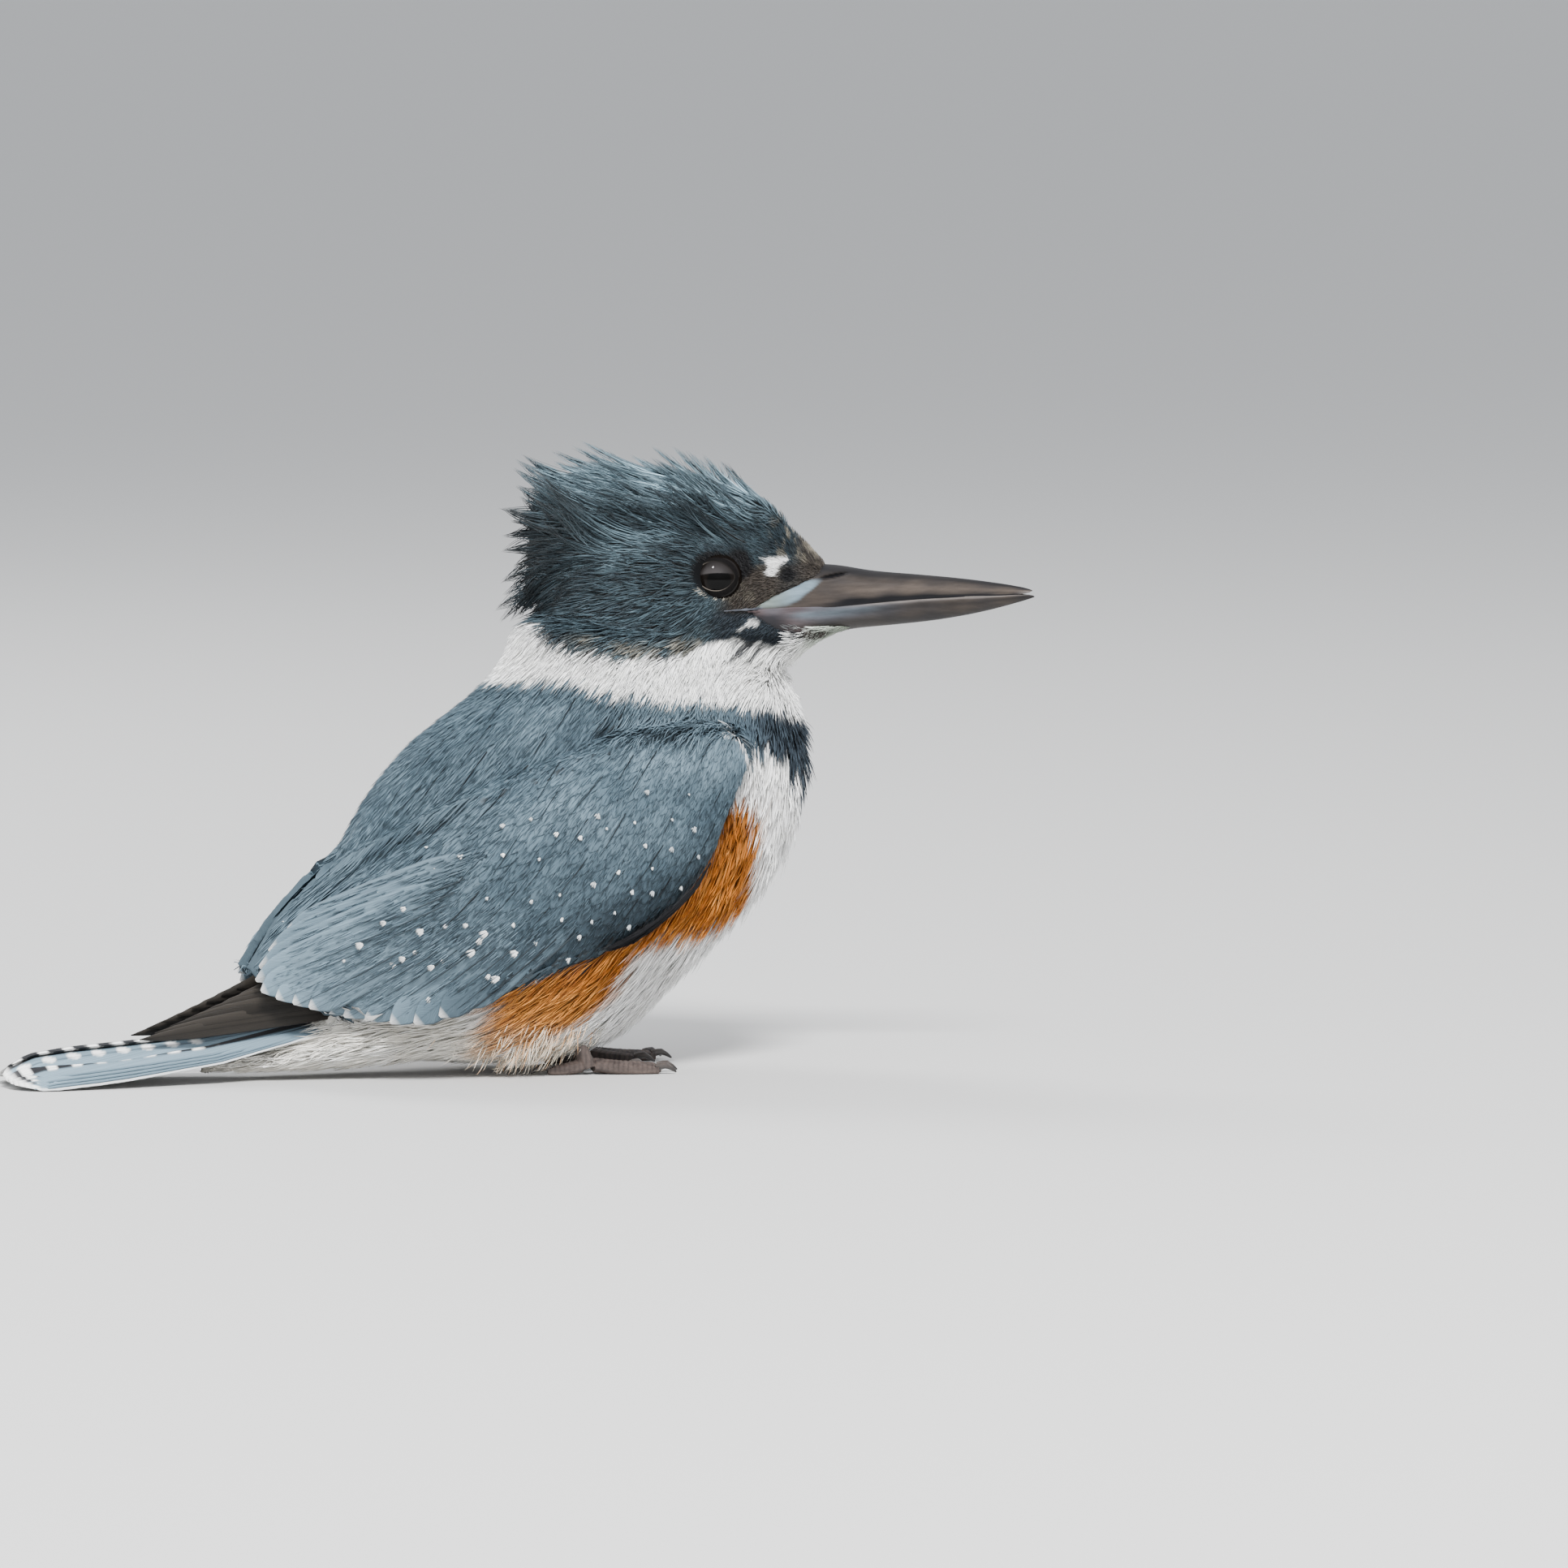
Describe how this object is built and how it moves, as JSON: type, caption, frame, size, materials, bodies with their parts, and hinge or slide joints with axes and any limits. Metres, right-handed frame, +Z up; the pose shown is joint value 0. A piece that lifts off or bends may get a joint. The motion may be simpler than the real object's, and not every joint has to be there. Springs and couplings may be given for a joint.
{
  "type": "kingfisher",
  "caption": "Perched female belted kingfisher with a shaggy crest and a dagger bill, head turned a little to its right, as a still model that stands on its feet and tail.",
  "frame": {"origin": "middle of the bounding box in plan, on the plane that the feet and the tail rest on", "axes": "+X the way the body faces, +Y the bird's left, +Z up"},
  "size_m": [0.254, 0.0764, 0.1527],
  "materials": {
    "blue_plumage": "slate-blue feathers, soft, with dark shafts",
    "white_plumage": "soft white feathers",
    "rufous_plumage": "soft rufous feathers",
    "flight_feathers": "dark brown satin vanes",
    "bill": "worn horn, satin, paler at its root",
    "eye": "wet gloss",
    "foot_skin": "scaly skin",
    "claw": "dark satin horn"
  },
  "bodies": {
    "root": {"trunk": "blue_plumage", "rump": "white_plumage", "neck": "white_plumage", "head": "blue_plumage", "crest": "blue_plumage", "upper_bill": "bill", "lower_bill": "bill", "eye_left": "eye", "eye_right": "eye", "wing_left": "blue_plumage", "wing_right": "blue_plumage", "primaries_left": "flight_feathers", "primaries_right": "flight_feathers", "tail": "blue_plumage", "leg_left": "foot_skin", "toe_inner_left": "foot_skin", "claw_inner_left": "claw", "toe_middle_left": "foot_skin", "claw_middle_left": "claw", "toe_outer_left": "foot_skin", "claw_outer_left": "claw", "toe_hind_left": "foot_skin", "claw_hind_left": "claw", "leg_right": "foot_skin", "toe_inner_right": "foot_skin", "claw_inner_right": "claw", "toe_middle_right": "foot_skin", "claw_middle_right": "claw", "toe_outer_right": "foot_skin", "claw_outer_right": "claw", "toe_hind_right": "foot_skin", "claw_hind_right": "claw"}
  },
  "joints": []
}
